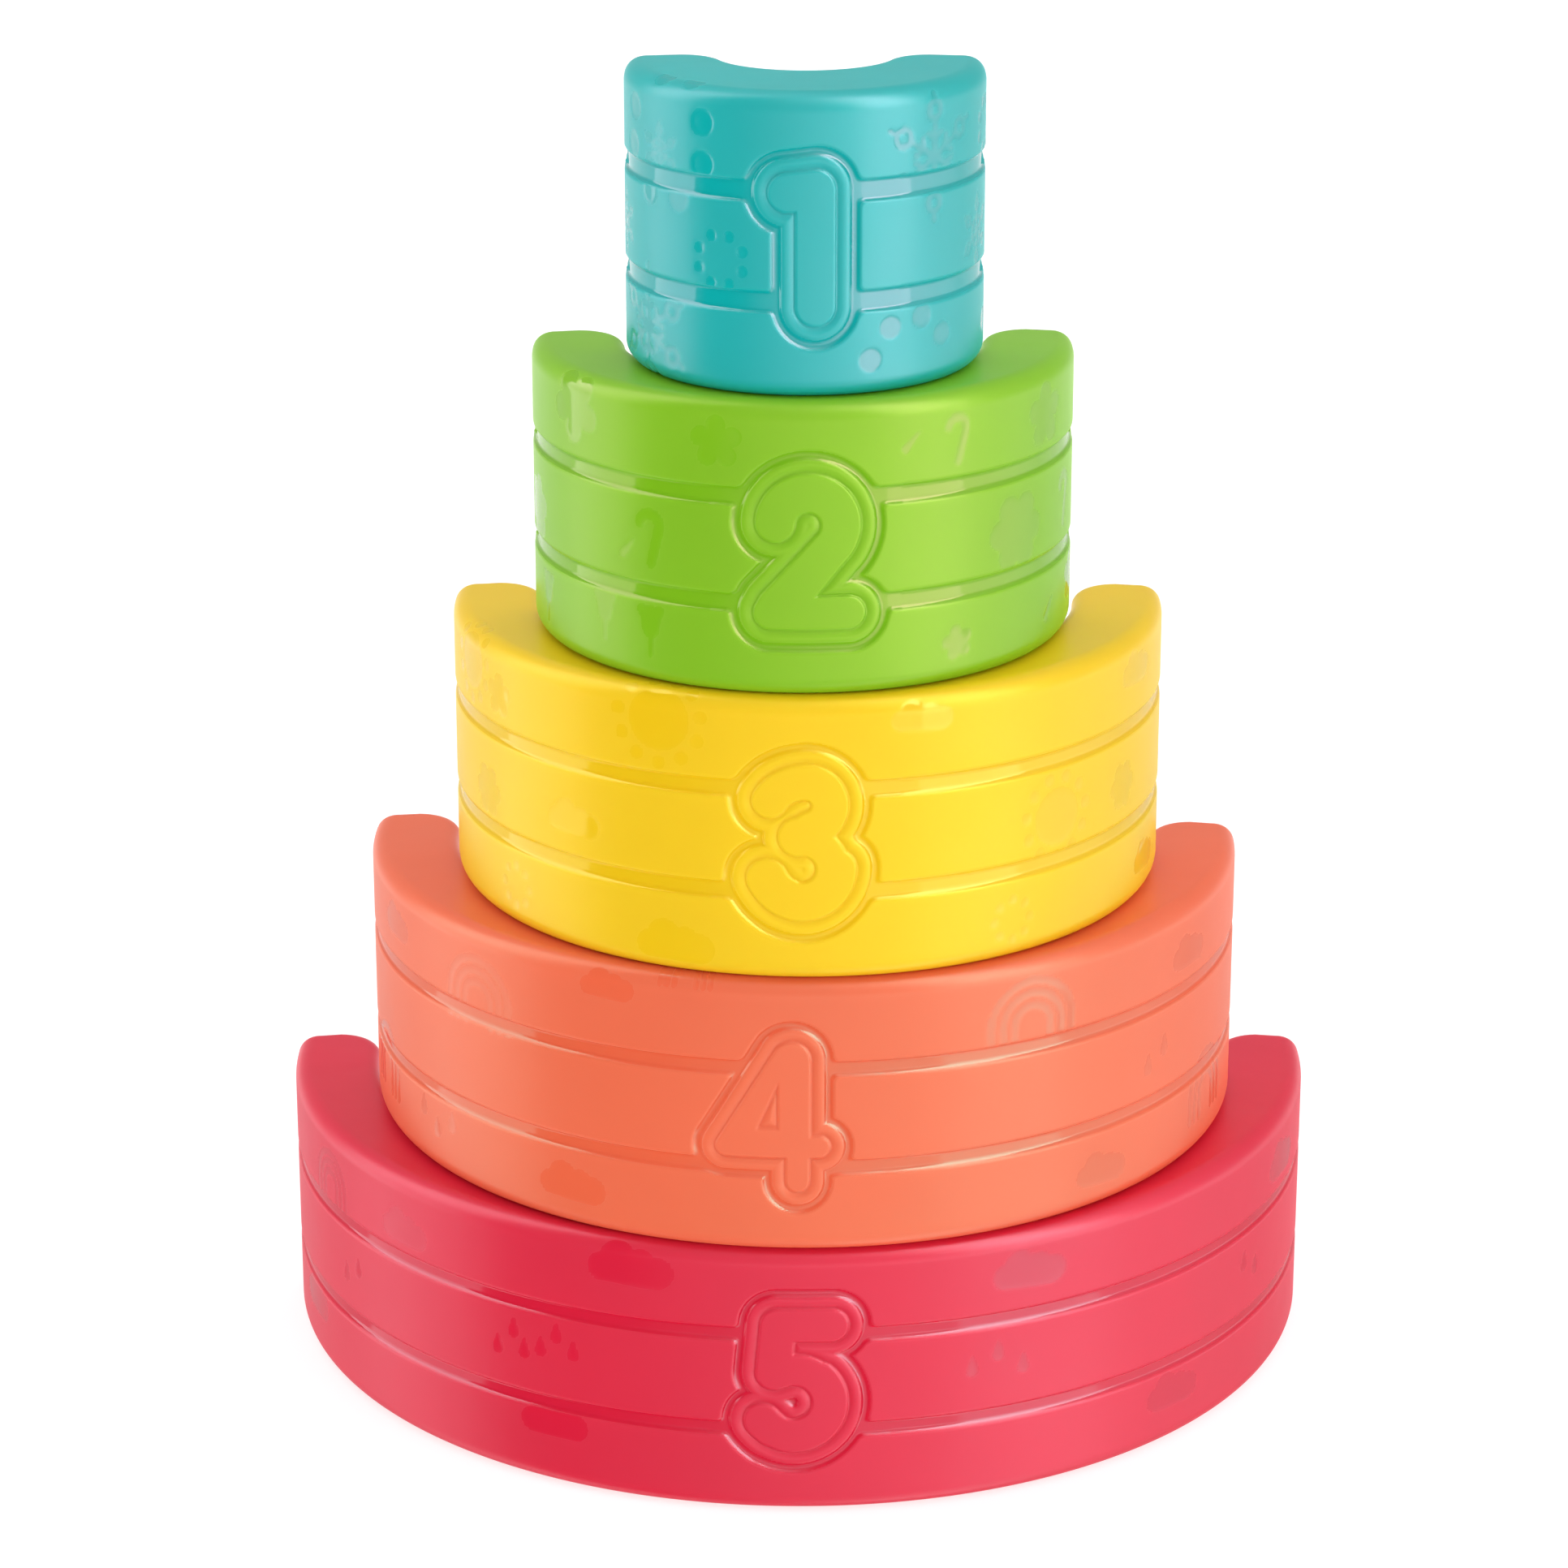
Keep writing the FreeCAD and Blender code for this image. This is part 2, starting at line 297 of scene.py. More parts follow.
def rainbow(s, z, s0, z0, radius):
    """Three arcs, one in the other, which run down into short stripes."""
    half = 0.085 * radius
    bows = []
    for share in (1.0, 0.72, 0.44):
        bow_radius = share * radius
        bows.append(arc_distance(s, z, s0, z0, bow_radius, 0, 180, half))
        for foot in (s0 - bow_radius, s0 + bow_radius):
            bows.append(line_distance(s, z, foot, z0, half, foot, z0 - 0.6 * radius, half))
    return nearest(*bows)


def tendril(s, z, s0, z0, size):
    """A curl that hangs from a short hook."""
    hook = arc_distance(s, z, s0, z0, 0.3 * size, -20, 170, 0.13 * size)
    top = (s0 + 0.28 * size, z0 - 0.1 * size)
    stem = line_distance(s, z, *top, 0.13 * size, s0 + 0.05 * size, z0 - size, 0.12 * size)
    return nearest(hook, stem)


def leaf(s, z, s0, z0, size):
    return line_distance(s, z, s0, z0, 0.16 * size, s0 + 0.55 * size, z0 + 0.6 * size, 0.03 * size)


def tulip(s, z, s0, z0, size):
    cup = line_distance(s, z, s0, z0, 0.24 * size, s0, z0 + 0.3 * size, 0.3 * size)
    petals = [disc(s, z, s0 + side * 0.26 * size, z0 + 0.48 * size, 0.14 * size) for side in (-1, 0, 1)]
    stem = line_distance(s, z, s0, z0, 0.06 * size, s0, z0 - 0.7 * size, 0.06 * size)
    return nearest(cup, stem, *petals)


PICTURES = {
    1: [
        (disc, -21.9, 55.0, 2.7),
        (disc, -21.9, 46.6, 2.7),
        (disc, -44.0, 55.0, 2.7),
        (disc, -45.1, 47.1, 2.7),
        (disc, -35.6, 63.4, 2.5),
        (disc, -26.6, 64.0, 2.5),
        (disc, -37.4, 38.8, 2.6),
        (disc, -28.3, 38.8, 2.6),
        (disc, 17.8, 13.9, 2.4),
        (disc, 25.4, 15.2, 2.4),
        (disc, 31.2, 10.7, 2.4),
        (disc, 13.4, 7.6, 2.5),
        (disc, 50.0, 20.0, 2.4),
        (disc, 53.0, 9.0, 2.4),
        (dot_ring, -17.8, 27.7, 5.2, 1.1, 8, 22),
        (dot_ring, 52.0, 50.0, 5.2, 1.1, 8, 22),
        (snowflake, 28.6, 47.2, 12.0),
        (snowflake, -38.6, 10.6, 12.0),
        (snowflake, 46.0, 29.0, 7.0),
        (snowflake, -34.0, 47.6, 5.5),
        (snowflake, -52.0, 30.0, 6.0),
    ],
    2: [
        (flower, -18.6, 53.3, 5.2, 5, 20),
        (flower, -56.0, 55.2, 7.5, 5, 50),
        (flower, 60.5, 52.0, 6.5, 5, 20),
        (flower, 50.0, 29.5, 8.0, 6, 0),
        (flower, 33.0, 9.0, 3.6, 5, 30),
        (flower, -78.0, 28.0, 7.0, 6, 15),
        (flower, 80.0, 12.0, 5.0, 5, 10),
        (tendril, 32.4, 54.6, 7.0),
        (tendril, -33.9, 34.0, 8.0),
        (tendril, 72.0, 34.0, 8.0),
        (leaf, 20.5, 51.6, 5.5),
        (leaf, -41.0, 27.0, 5.5),
        (leaf, 62.0, 8.0, 6.0),
        (tulip, -33.8, 12.0, 8.0),
        (tulip, -46.5, 13.0, 8.0),
        (tulip, -70.0, 11.0, 8.0),
    ],
    3: [
        (sun, -31.5, 55.6, 6.6),
        (sun, 58.0, 29.5, 6.2),
        (sun, -92.0, 55.0, 6.0),
        (cloud, -53.5, 29.0, 15.0),
        (cloud, -28.4, 6.0, 18.0),
        (cloud, 24.0, 56.5, 14.0),
        (cloud, 88.0, 54.0, 15.0),
        (cloud, 96.0, 9.0, 14.0),
        (flower, -78.0, 51.0, 4.5, 5, 15),
        (flower, 82.0, 30.0, 5.0, 6, 0),
        (flower, -84.0, 28.0, 5.5, 6, 0),
        (dot_ring, -72.0, 10.0, 4.5, 1.0, 8, 0),
        (dot_ring, 46.0, 9.0, 4.5, 1.0, 8, 0),
    ],
    4: [
        (rainbow, -76.0, 46.0, 9.5),
        (rainbow, 53.5, 47.5, 10.0),
        (rainbow, 116.0, 14.0, 9.0),
        (rainbow, -122.0, 15.0, 9.0),
        (rainbow, -22.6, 63.0, 5.5),
        (cloud, -40.5, 57.0, 13.0),
        (cloud, -49.7, 9.5, 17.0),
        (cloud, 73.0, 8.5, 15.0),
        (cloud, -112.0, 52.0, 15.0),
        (cloud, 104.0, 50.0, 15.0),
        (drop, -92.0, 10.0, 4.5),
        (drop, -86.0, 13.0, 4.5),
        (drop, -98.0, 13.5, 4.5),
        (drop, 88.0, 28.0, 4.5),
        (drop, 94.0, 31.0, 4.5),
    ],
    5: [
        (cloud, -37.5, 55.0, 20.0),
        (cloud, -56.0, 15.0, 17.0),
        (cloud, -99.0, 49.0, 16.0),
        (cloud, 51.0, 52.0, 18.0),
        (cloud, 92.0, 12.0, 17.0),
        (cloud, 142.0, 50.0, 18.0),
        (cloud, -146.0, 14.0, 18.0),
        (drop, -70.0, 30.0, 4.2),
        (drop, -65.7, 34.8, 4.2),
        (drop, -63.0, 30.4, 4.2),
        (drop, -58.8, 31.9, 4.2),
        (drop, -54.8, 35.9, 4.2),
        (drop, -50.7, 32.4, 4.2),
        (drop, 38.0, 31.0, 4.2),
        (drop, 44.0, 34.0, 4.2),
        (drop, 50.0, 30.0, 4.2),
        (drop, 120.0, 33.0, 4.2),
        (drop, 126.0, 30.0, 4.2),
        (drop, -118.0, 32.0, 4.2),
        (drop, -124.0, 29.0, 4.2),
        (rainbow, -132.0, 48.0, 8.0),
    ],
}


# Relief: how deep the outer face is cut, and where it is polished


def ramp(x):
    x = np.clip(x, 0, 1)
    return x * x * (3 - 2 * x)


def smooth_minimum(a, b, radius):
    blend = np.clip(0.5 + 0.5 * (b - a) / radius, 0, 1)
    return b + (a - b) * blend - radius * blend * (1 - blend)


def relief(number, radius, height, s, z):
    """Depth in millimetres and polish from 0 to 1, at a distance s round the outside and a height z."""
    quarter = radius * math.pi / 2
    past_quarter = np.abs(s) - quarter
    x = radius * np.sin(np.clip(s, -quarter, quarter) / radius)
    away = number_distance(number, x, z - height / 2)
    away = np.where(np.abs(s) < quarter * FRONT_SHARE, away, FAR)
    bead_edge = LINE_WIDTH + BEAD_WIDTH
    band = np.full(s.shape, np.inf)
    for level in (BAND_LEVEL, 1 - BAND_LEVEL):
        band = np.minimum(band, np.abs(z - level * height) - BAND_WIDTHS[number] / 2)
    taper = BAND_TAPER * ramp((past_quarter - BAND_TAPER_START) / BAND_FADE)
    band = np.where(band < JOIN_RADIUS, band + taper, band)
    outside = smooth_minimum(away - bead_edge - MOAT_WIDTH, band, JOIN_RADIUS)
    moat = np.maximum(outside, bead_edge - away)
    depth = RELIEF_DEPTH * ramp(0.5 - moat / WALL_RUN)
    depth *= 1 - ramp((past_quarter - BAND_DEPTH_END) / BAND_FADE)
    line = LINE_DEPTH * ramp(1 - np.abs(away - LINE_WIDTH / 2) / (LINE_SLOPE * LINE_WIDTH))
    bead_middle = LINE_WIDTH + BEAD_WIDTH / 2
    crown = BEAD_CROWN * np.clip(np.abs(away - bead_middle) * 2 / BEAD_WIDTH, 0, 1) ** 2
    crown *= ramp((away - CROWN_MARGIN) / CROWN_START)
    crown *= ramp((bead_edge + CROWN_MARGIN - away) / CROWN_STOP)
    carved = np.maximum(np.maximum(depth, line), crown)
    picture = np.full(s.shape, np.inf)
    for draw, *values in PICTURES[number]:
        picture = np.minimum(picture, draw(s, z, *values))
    pressed = ramp(0.5 - picture / PICTURE_RUN)
    clear = 1 - ramp(carved / PICTURE_CLEARANCE)
    polish = np.maximum(ramp((depth / RELIEF_DEPTH - POLISH_FROM) / POLISH_RUN), pressed * clear)
    return carved + PICTURE_DEPTHS[number] * pressed * clear, polish


# One arch as a mesh


def outline(radius, number):
    """The right half of the outer and inner walls, seen from above: matching stretches from the middle
    of the front to the middle of the leg end. An arc is (centre, radius, from, to, side of its normal)."""
    outer_straight = LEG_LENGTH - OUTER_CORNER_RADIUS
    inner_straight = LEG_LENGTH - INNER_CORNER_RADIUS
    outer_corner = radius - OUTER_CORNER_RADIUS
    inner_radius = radius - THICKNESS
    # The smallest has only a thumb recess, centred on the leg ends
    centre_y = LEG_LENGTH if number == 1 else 0
    reach = inner_radius + INNER_CORNER_RADIUS
    lean = math.degrees(math.asin((centre_y - inner_straight) / reach))
    inner_corner = reach * math.cos(math.radians(lean))
    middle = (outer_corner + inner_corner) / 2
    outer = [
        ("arc", (0, 0), radius, -90, 0, 1),
        ("line", (radius, 0), (radius, outer_straight), (1, 0)),
        ("arc", (outer_corner, outer_straight), OUTER_CORNER_RADIUS, 0, 90, 1),
        ("line", (outer_corner, LEG_LENGTH), (middle, LEG_LENGTH), (0, 1)),
    ]
    inner = [
        ("arc", (0, centre_y), inner_radius, -90, -lean - 1, -1),
        ("arc", (0, centre_y), inner_radius, -lean - 1, -lean, -1),
        ("arc", (inner_corner, inner_straight), INNER_CORNER_RADIUS, 180 - lean, 90, 1),
        ("line", (inner_corner, LEG_LENGTH), (middle, LEG_LENGTH), (0, 1)),
    ]
    return outer, inner


def length_of(stretch):
    if stretch[0] == "line":
        return math.dist(stretch[1], stretch[2])
    return stretch[2] * math.radians(abs(stretch[4] - stretch[3]))


def walk(stretches, progress):
    """Points and outward normals, where progress 1.5 is halfway along the second stretch."""
    points = np.zeros((len(progress), 2))
    normals = np.zeros((len(progress), 2))
    for i, (kind, *values) in enumerate(stretches):
        here = (progress >= i) & (progress <= i + 1)
        share = progress[here, None] - i
        if kind == "line":
            start, end, normal = values
            points[here] = np.array(start) + share * (np.array(end) - np.array(start))
            normals[here] = normal
        else:
            centre, radius, first, last, side = values
            angle = np.radians(first + share[:, 0] * (last - first))
            outwards = np.stack([np.cos(angle), np.sin(angle)], axis=1)
            points[here] = np.array(centre) + radius * outwards
            normals[here] = side * outwards
    return points, normals


def spread_out(low, high, spacing, probe=0.02):
    """Places from low to high whose spacing at each place is what the function says."""
    fine = np.arange(low, high + probe / 2, probe)
    count = np.concatenate([[0], np.cumsum(probe / spacing((fine[1:] + fine[:-1]) / 2))])
    steps = max(2, round(count[-1]))
    return np.interp(np.linspace(0, count[-1], steps + 1), count, fine)


def columns(number, radius, leg_end):
    """Places along the outer wall, fine across the number and medium across the pictures."""
    centres = [values[0] for draw, *values in PICTURES[number]]
    quarter = radius * math.pi / 2

    def spacing(s):
        room = np.full(s.shape, PLAIN_SPACING)
        for centre in centres:
            away = np.maximum(0, np.abs(s - centre) - PICTURE_REACH)
            room = np.minimum(room, PICTURE_SPACING + PICTURE_SPREAD * away)
        room = np.where(np.abs(s) > quarter - LEG_REACH, np.minimum(room, LEG_SPACING), room)
        away = np.maximum(0, np.abs(s) - NUMBER_REACH)
        return np.minimum(room, NUMBER_SPACING + NUMBER_SPREAD * away)

    return spread_out(-leg_end, leg_end, spacing)


def rows(number, height):
    """The wall's section from the bottom face to the top one: how far each row is up the straight wall,
    from 0 to 1, and the tilt of its normal. Also each row's place on the outer face, as a height that
    carries on round the edges, and the coarsest mesh level that keeps the row."""
    edges = []
    for level in (BAND_LEVEL, 1 - BAND_LEVEL):
        edges += [level * height + side * BAND_WIDTHS[number] / 2 for side in (-1, 1)]

    def spacing(z):
        room = np.full(z.shape, HEIGHT_SPACING)
        for edge in edges:
            room = np.minimum(room, BAND_EDGE_SPACING + BAND_SPREAD * np.abs(z - edge))
        return room

    wall = spread_out(OUTER_EDGE_RADIUS, height - OUTER_EDGE_RADIUS, spacing)
    keep = 2**INNER_LEVEL
    steps = keep * round((len(wall) - 1) / keep)
    wall = np.interp(np.linspace(0, len(wall) - 1, steps + 1), np.arange(len(wall)), wall)
    tilt = np.radians(np.linspace(0, 90, FILLET_STEPS + 1))[1:]
    share = (wall - OUTER_EDGE_RADIUS) / (height - 2 * OUTER_EDGE_RADIUS)
    edge_rows = len(tilt) + 1
    shares = np.concatenate([np.zeros(edge_rows), share, np.ones(edge_rows)])
    tilts = np.concatenate([[-math.pi / 2], -tilt[::-1], np.zeros(steps + 1), tilt, [math.pi / 2]])
    past_edge = OUTER_EDGE_RADIUS * tilt
    low_places = OUTER_EDGE_RADIUS - past_edge[::-1]
    high_places = height - OUTER_EDGE_RADIUS + past_edge
    places = np.concatenate([[-FAR], low_places, wall, high_places, [height + FAR]])
    wall_levels = [(i & -i).bit_length() - 1 if i % keep else INNER_LEVEL + 1 for i in range(steps + 1)]
    fillet_levels = [1 if i % 2 else INNER_LEVEL + 1 for i in range(1, FILLET_STEPS + 1)]
    levels = [INNER_LEVEL + 1] + fillet_levels[::-1] + wall_levels + fillet_levels + [INNER_LEVEL + 1]
    return shares, tilts, places, np.array(levels)


def arch_mesh(number, radius, height):
    """Points in millimetres, the polish at each, and faces."""
    outer_wall, inner_wall = outline(radius, number)
    lengths = np.cumsum([0] + [length_of(stretch) for stretch in outer_wall])
    s = columns(number, radius, lengths[-1])
    progress = np.interp(np.abs(s), lengths, range(len(lengths)))
    side = np.where(s < 0, -1.0, 1.0)[:, None] * [1, 0] + [0, 1]
    points, normals = (part * side for part in walk(outer_wall, progress))
    inner_points, inner_normals = (part * side for part in walk(inner_wall, progress))
    points = np.concatenate([points, inner_points[-2:0:-1]])
    normals = np.concatenate([normals, inner_normals[-2:0:-1]])
    blend = np.clip(progress - 3, 0, 1) / 2
    outer_edge = OUTER_EDGE_RADIUS + (INNER_EDGE_RADIUS - OUTER_EDGE_RADIUS) * blend
    inner_edge = INNER_EDGE_RADIUS + (OUTER_EDGE_RADIUS - INNER_EDGE_RADIUS) * blend
    edge = np.concatenate([outer_edge, inner_edge[-2:0:-1]])[:, None]
    around_outside = len(s)
    count = len(points)

    shares, tilts, places, row_levels = rows(number, height)
    depth = np.zeros((count, len(tilts)))
    polish = np.zeros((count, len(tilts)))
    s_grid, z_grid = np.meshgrid(s, places, indexing="ij")
    depth[:around_outside], polish[:around_outside] = relief(number, radius, height, s_grid, z_grid)
    depth[:, np.isclose(np.abs(tilts), math.pi / 2)] = 0

    inset = edge * (1 - np.cos(tilts)) + np.cos(tilts) * depth
    inset[:, [0, -1]] += FLAT_RIM
    x = points[:, :1] - normals[:, :1] * inset
    y = points[:, 1:] - normals[:, 1:] * inset
    z = edge + shares * (height - 2 * edge) + np.sin(tilts) * (edge - depth)
    coordinates = np.stack([x, y, z], axis=-1)

    # Each gap between two columns has a level, and skips the rows that its level doesn't keep
    middle = (np.abs(s[1:]) + np.abs(s[:-1])) / 2
    from_end = np.minimum(np.arange(around_outside - 1), np.arange(around_outside - 1)[::-1])
    gap_levels = np.full(count, INNER_LEVEL)
    gap_levels[: around_outside - 1] = np.where(
        middle < NUMBER_REACH, 0, np.maximum(1, INNER_LEVEL - 1 - from_end)
    )
    used_at = np.minimum(gap_levels, np.roll(gap_levels, 1))
    used = row_levels[None, :] >= used_at[:, None]
    index = np.full(used.shape, -1)
    index[used] = np.arange(used.sum())

    faces = []
    for level in np.unique(gap_levels):
        kept = np.nonzero(row_levels >= level)[0]
        low, high = kept[:-1], kept[1:]
        for gap in np.nonzero(gap_levels == level)[0]:
            after = (gap + 1) % count
            if used_at[gap] == level and used_at[after] == level:
                corners = (index[gap, low], index[after, low], index[after, high], index[gap, high])
                faces += np.stack(corners, 1).tolist()
                continue
            for a, b in zip(low, high):
                left = index[gap, a : b + 1]
                right = index[after, a : b + 1]
                faces.append(right[right >= 0].tolist() + left[left >= 0][::-1].tolist())

    # Flat top and bottom, as a ladder between the outer and the inner wall
    for row, flip in ((0, True), (len(tilts) - 1, False)):
        for i in range(around_outside - 1):
            near = [index[i, row], index[i + 1, row]]
            far = [index[(count - i - 1) % count, row], index[(count - i) % count, row]]
            loop = list(dict.fromkeys(int(corner) for corner in near + far))
            faces.append(loop[::-1] if flip else loop)
    return coordinates[used], polish[used], faces


def make_arch(number):
    low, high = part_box(f"arch_{number}")
    radius = (high.x - low.x) / 2 / MM
    height = (high.z - low.z) / MM
    coordinates, polish, faces = arch_mesh(number, radius, height)
    mesh = bpy.data.meshes.new(f"arch_{number}_skin")
    mesh.from_pydata((coordinates * MM).tolist(), [], faces)
    mesh.shade_smooth()
    mesh.attributes.new("polish", "FLOAT", "POINT").data.foreach_set("value", polish.astype(np.float32))
    centre = Vector(((low.x + high.x) / 2, low.y + radius * MM, low.z))
    mesh.transform(Matrix.Translation(centre) @ Matrix.Rotation(math.radians(TURNS[number]), 4, "Z"))
    mesh.update()
    arch = bpy.data.objects.new(f"arch_{number}_skin", mesh)
    bpy.context.scene.collection.objects.link(arch)
    mesh.materials.append(plastic(f"plastic_{number}", COLOURS[number], TINTS[number]))
    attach(arch, f"arch_{number}")
    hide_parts(f"arch_{number}")
    return arch


# Material. Noise scales are per metre, heights in metres, and pairs are a low and a high value.

MOTTLE_SCALE = 22
MOTTLE = (0.97, 1.03)          # factor on the colour
SATIN_SCALE = 60
SATIN_ROUGHNESS = (0.32, 0.36)
POLISHED_ROUGHNESS = 0.07
WAVE_SCALE = 45                # slow waviness of a blown skin
WAVE_HEIGHT = 0.0006
WAVE_STRENGTH = 0.25
GRAIN_SCALE = 5000
GRAIN_HEIGHT = 0.00002
GRAIN_STRENGTHS = (0.5, 0.05)  # satin, polished
NOISE_RANGE = (0.3, 0.7)       # where most of a noise lies
REFRACTION = 1.5
SCATTER_WEIGHT = 0.3           # light that wanders a little inside the plastic
SCATTER_REACH = 0.006
SCATTER_SHARES = (1.0, 0.6, 0.4)    # of that reach, for red, green and blue


def node(tree, kind, **settings):
    made = tree.nodes.new(kind)
    for name, value in settings.items():
        setattr(made, name, value)
    return made


def noise(tree, scale, detail, coordinates):
    texture = node(tree, "ShaderNodeTexNoise")
    texture.inputs["Scale"].default_value = scale
    texture.inputs["Detail"].default_value = detail
    tree.links.new(coordinates, texture.inputs["Vector"])
    return texture.outputs["Fac"]


def map_range(tree, value, from_low, from_high, to_low, to_high):
    mapped = node(tree, "ShaderNodeMapRange")
    ends = {"From Min": from_low, "From Max": from_high, "To Min": to_low, "To Max": to_high}
    for name, number in ends.items():
        mapped.inputs[name].default_value = number
    tree.links.new(value, mapped.inputs["Value"])
    return mapped.outputs["Result"]


def plastic(name, colour, sheen):
    """Coloured plastic: a satin skin, polished in the bands, the number and the pictures."""
    material = bpy.data.materials.new(name)
    material.use_nodes = True
    tree = material.node_tree
    shader = tree.nodes["Principled BSDF"]
    place = node(tree, "ShaderNodeTexCoord").outputs["Object"]
    polish = node(tree, "ShaderNodeAttribute", attribute_name="polish").outputs["Fac"]

    cloudy = map_range(tree, noise(tree, MOTTLE_SCALE, 3, place), *NOISE_RANGE, *MOTTLE)
    tint = node(tree, "ShaderNodeMix", data_type="RGBA", blend_type="MULTIPLY")
    tint.inputs["Factor"].default_value = 1
    tint.inputs["A"].default_value = (*colour, 1)
    tree.links.new(cloudy, tint.inputs["B"])
    tree.links.new(tint.outputs["Result"], shader.inputs["Base Color"])

    satin = map_range(tree, noise(tree, SATIN_SCALE, 3, place), *NOISE_RANGE, *SATIN_ROUGHNESS)
    roughness = node(tree, "ShaderNodeMix", data_type="FLOAT")
    roughness.inputs["B"].default_value = POLISHED_ROUGHNESS
    tree.links.new(polish, roughness.inputs["Factor"])
    tree.links.new(satin, roughness.inputs["A"])
    tree.links.new(roughness.outputs["Result"], shader.inputs["Roughness"])

    wave = node(tree, "ShaderNodeBump")
    wave.inputs["Strength"].default_value = WAVE_STRENGTH
    wave.inputs["Distance"].default_value = WAVE_HEIGHT
    tree.links.new(noise(tree, WAVE_SCALE, 2, place), wave.inputs["Height"])
    grain = node(tree, "ShaderNodeBump")
    grain.inputs["Distance"].default_value = GRAIN_HEIGHT
    tree.links.new(map_range(tree, polish, 0, 1, *GRAIN_STRENGTHS), grain.inputs["Strength"])
    tree.links.new(noise(tree, GRAIN_SCALE, 2, place), grain.inputs["Height"])
    tree.links.new(wave.outputs["Normal"], grain.inputs["Normal"])
    tree.links.new(grain.outputs["Normal"], shader.inputs["Normal"])

    shader.inputs["IOR"].default_value = REFRACTION
    shader.inputs["Specular Tint"].default_value = (*sheen, 1)
    shader.inputs["Subsurface Weight"].default_value = SCATTER_WEIGHT
    shader.inputs["Subsurface Radius"].default_value = SCATTER_SHARES
    shader.inputs["Subsurface Scale"].default_value = SCATTER_REACH
    return material


# Stage, light and camera

FLOOR_REACH = 6.0        # metres each way
FLOOR_GREY = 0.35
FLOOR_GLOW = 0.72        # keeps the floor white close to the tower
FLOOR_ROUGHNESS = 0.9


def make_floor():
    mesh = bpy.data.meshes.new("floor")
    corners = [(x * FLOOR_REACH, y * FLOOR_REACH, 0) for x, y in ((-1, -1), (1, -1), (1, 1), (-1, 1))]
    mesh.from_pydata(corners, [], [(0, 1, 2, 3)])
    floor = bpy.data.objects.new("floor", mesh)
    bpy.context.scene.collection.objects.link(floor)
    material = bpy.data.materials.new("floor")
    material.use_nodes = True
    shader = material.node_tree.nodes["Principled BSDF"]
    shader.inputs["Base Color"].default_value = (FLOOR_GREY, FLOOR_GREY, FLOOR_GREY, 1)
    shader.inputs["Emission Color"].default_value = (1, 1, 1, 1)
    shader.inputs["Emission Strength"].default_value = FLOOR_GLOW
    shader.inputs["Roughness"].default_value = FLOOR_ROUGHNESS
    mesh.materials.append(material)
    floor.visible_glossy = False
    floor.visible_shadow = False


def direction(azimuth, elevation=0.0):
    """From the tower outwards: azimuth 0 is the front, positive to the right, in degrees."""
    a, e = math.radians(azimuth), math.radians(elevation)
    return Vector((math.sin(a) * math.cos(e), -math.cos(a) * math.cos(e), math.sin(e)))


# What the plastic reflects: broad soft light from the right, a dark stretch in front on the left, and
# a softbox with clear edges on each side. Radiance by azimuth, and factors on it by elevation, in degrees.
SURROUND = [
    (-180, 1.0), (-150, 1.1), (-116, 1.3), (-76, 0.5), (-68, 0.0), (-50, 0.0), (-38, 0.15), (-20, 1.1),
    (0, 2.6), (25, 4.3), (50, 4.9), (72, 4.2), (100, 2.5), (120, 1.2), (150, 0.9), (180, 1.0),
]
SOFTBOXES = [(-115, -76, 3.1), (36, 72, 7.0)]    # from, to, radiance
FADE = [
    (-90, 0.4), (-25, 0.42), (-18.8, 0.62), (-15.8, 0.75), (-12, 1.0), (-8, 1.1), (0, 0.8),
    (12, 0.4), (40, 0.5), (90, 1.2),
]
SOFTBOX_FADE = [
    (-90, 0.4), (-25, 0.45), (-18.8, 0.62), (-15.8, 0.75), (-12, 1.0),
    (5, 1.0), (25, 1.8), (75, 1.8), (90, 0.8),
]
ZENITH = 2.0             # radiance straight overhead
ZENITH_START = 55        # elevation from which the rest blends into it
REFLECTION_RADIUS = 3.0  # metres
REFLECTION_STEP = 3      # degrees between the sphere's points
SOFTBOX_EDGE = 0.5       # degrees either side of a softbox's edge


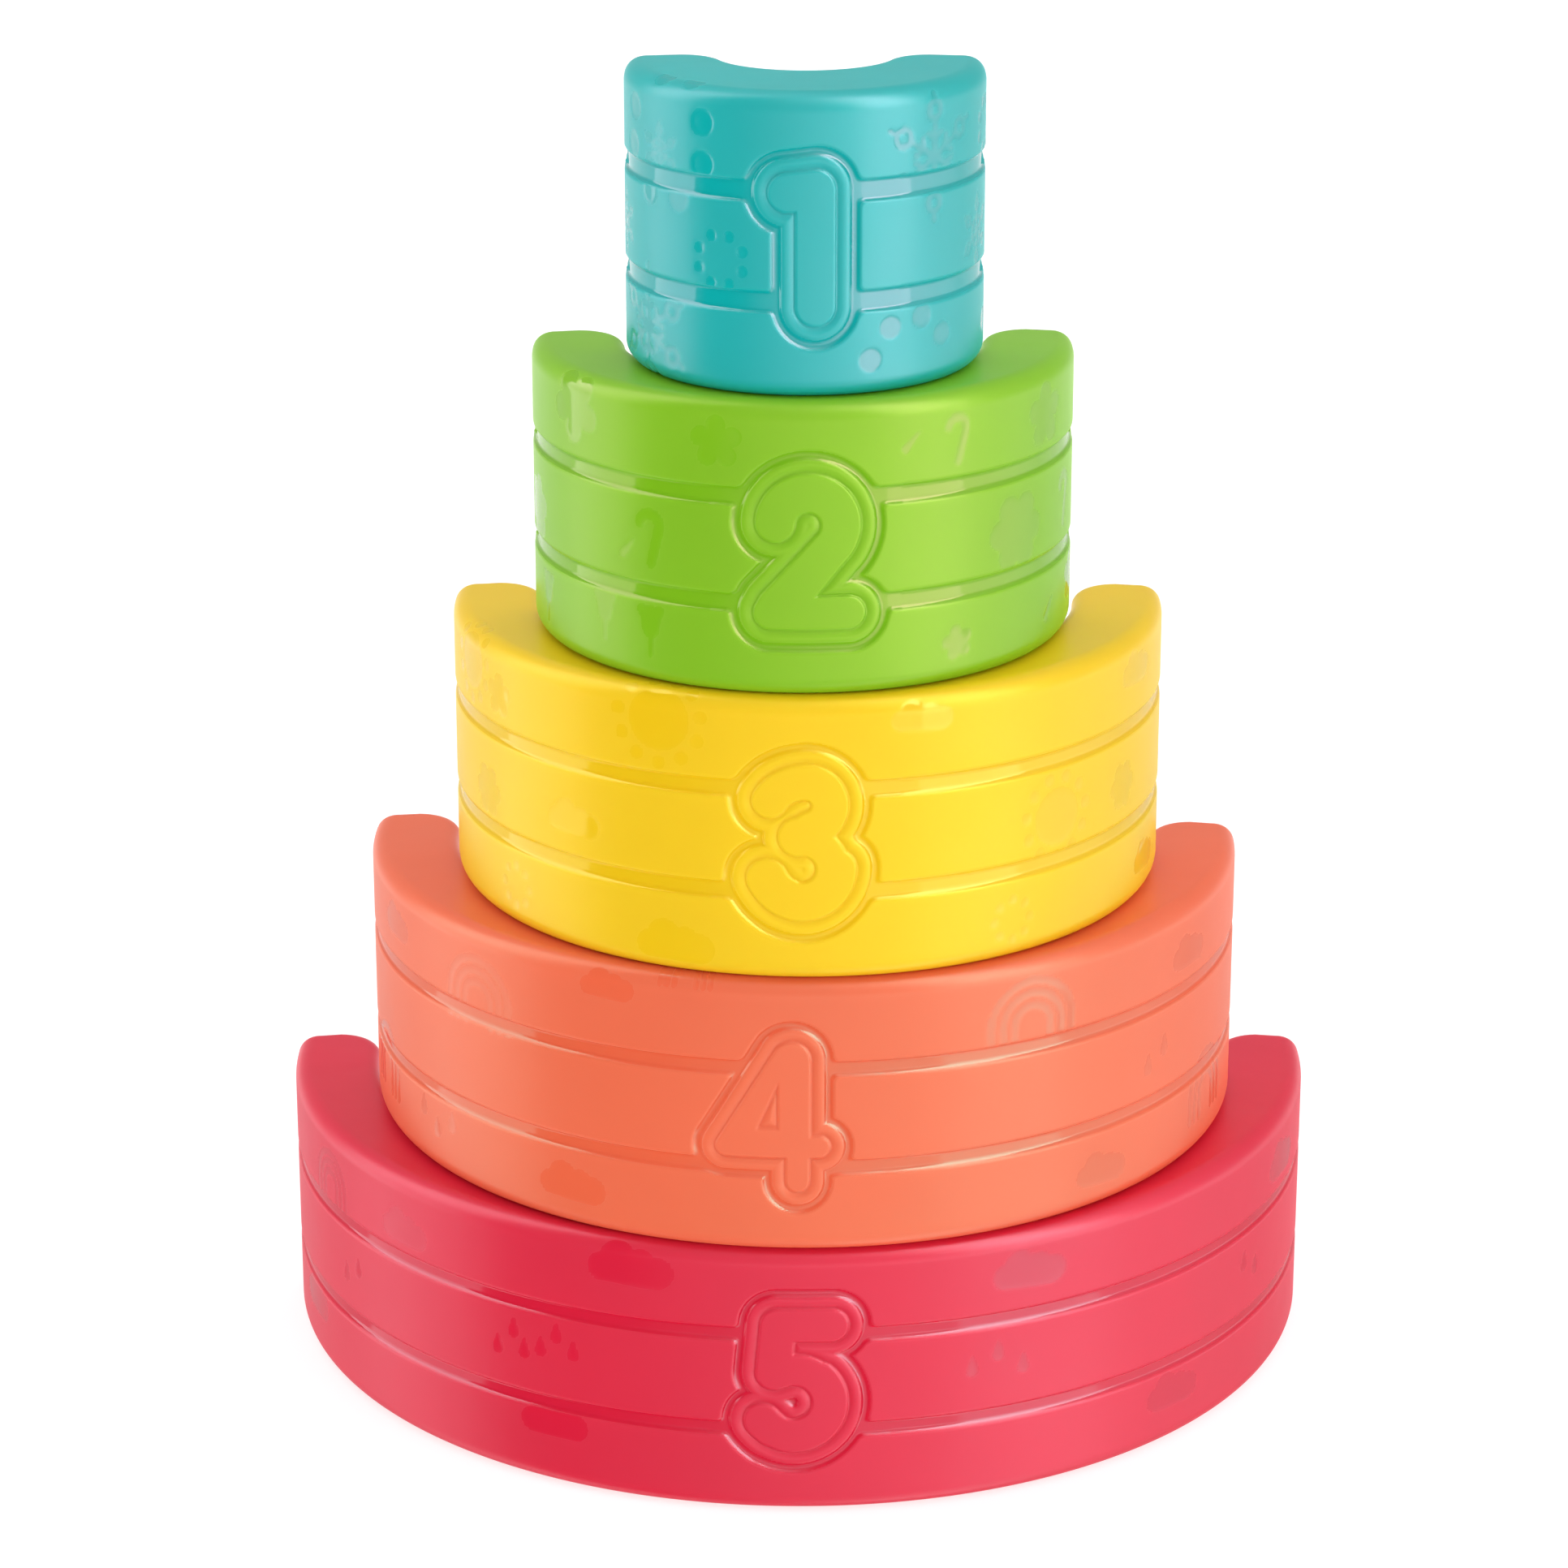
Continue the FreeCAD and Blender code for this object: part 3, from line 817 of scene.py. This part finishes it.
def make_reflections():
    """A sphere round the scene that only reflections see."""
    edges = [edge for first, last, radiance in SOFTBOXES for edge in (first, last)]
    beside_edges = [edge + side * SOFTBOX_EDGE for edge in edges for side in (-1, 1)]
    azimuths = sorted({*range(-180, 180, REFLECTION_STEP), *beside_edges})
    elevations = list(range(REFLECTION_STEP - 90, 90, REFLECTION_STEP))
    vertices = [REFLECTION_RADIUS * direction(azimuth, e) for e in elevations for azimuth in azimuths]
    across = len(azimuths)
    faces = []
    for i in range(len(elevations) - 1):
        for j in range(across):
            k = (j + 1) % across
            faces.append((i * across + j, i * across + k, (i + 1) * across + k, (i + 1) * across + j))
    mesh = bpy.data.meshes.new("reflections")
    mesh.from_pydata(vertices, [], faces)
    elevation, azimuth = (grid.ravel() for grid in np.meshgrid(elevations, azimuths, indexing="ij"))
    glow = np.interp(azimuth, *zip(*SURROUND)) * np.interp(elevation, *zip(*FADE))
    for first, last, radiance in SOFTBOXES:
        softbox = radiance * np.interp(elevation, *zip(*SOFTBOX_FADE))
        glow = np.where((azimuth > first) & (azimuth < last), softbox, glow)
    glow += (ZENITH - glow) * ramp((elevation - ZENITH_START) / (90 - ZENITH_START))
    mesh.attributes.new("glow", "FLOAT", "POINT").data.foreach_set("value", glow.astype(np.float32))
    material = bpy.data.materials.new("reflections")
    material.use_nodes = True
    tree = material.node_tree
    tree.nodes.remove(tree.nodes["Principled BSDF"])
    emission = node(tree, "ShaderNodeEmission")
    strength = node(tree, "ShaderNodeAttribute", attribute_name="glow").outputs["Fac"]
    tree.links.new(strength, emission.inputs["Strength"])
    tree.links.new(emission.outputs["Emission"], tree.nodes["Material Output"].inputs["Surface"])
    material.cycles.emission_sampling = "NONE"
    mesh.materials.append(material)
    surround = bpy.data.objects.new("reflections", mesh)
    for kind in ("camera", "diffuse", "transmission", "volume_scatter", "shadow"):
        setattr(surround, f"visible_{kind}", False)
    bpy.context.scene.collection.objects.link(surround)


DAYLIGHT = (1.0, 1.2)    # strength at the horizon and straight overhead


def make_daylight():
    """Even white light, which reflections don't see."""
    world = bpy.data.worlds.new("studio")
    bpy.context.scene.world = world
    world.use_nodes = True
    tree = world.node_tree
    background = tree.nodes["Background"]
    background.inputs["Color"].default_value = (1, 1, 1, 1)
    way = node(tree, "ShaderNodeSeparateXYZ")
    tree.links.new(node(tree, "ShaderNodeTexCoord").outputs["Generated"], way.inputs["Vector"])
    tree.links.new(map_range(tree, way.outputs["Z"], 0, 1, *DAYLIGHT), background.inputs["Strength"])
    world.cycles_visibility.glossy = False


CAMERA_AWAY = 1.0036     # metres in front of the tower's middle
CAMERA_SIDE = -0.0034
CAMERA_HEIGHT = 0.4953   # above the floor
CAMERA_PITCH = 19.2      # degrees below the horizon
CAMERA_LENS = 111.35     # millimetres, on a 36 mm sensor


def make_camera():
    low, high = cad_box
    middle = (low + high) / 2
    data = bpy.data.cameras.new("camera")
    data.sensor_width = 36
    data.lens = CAMERA_LENS
    data.clip_start = 0.05
    data.clip_end = 50
    camera = bpy.data.objects.new("camera", data)
    camera.location = Vector((middle.x + CAMERA_SIDE, middle.y - CAMERA_AWAY, low.z + CAMERA_HEIGHT))
    camera.rotation_euler = (math.radians(90 - CAMERA_PITCH), 0, 0)
    bpy.context.scene.collection.objects.link(camera)
    bpy.context.scene.camera = camera


make_camera()
for arch_number in range(1, ARCH_COUNT + 1):
    make_arch(arch_number)
make_floor()
make_reflections()
make_daylight()
bpy.context.scene.view_settings.view_transform = "Standard"
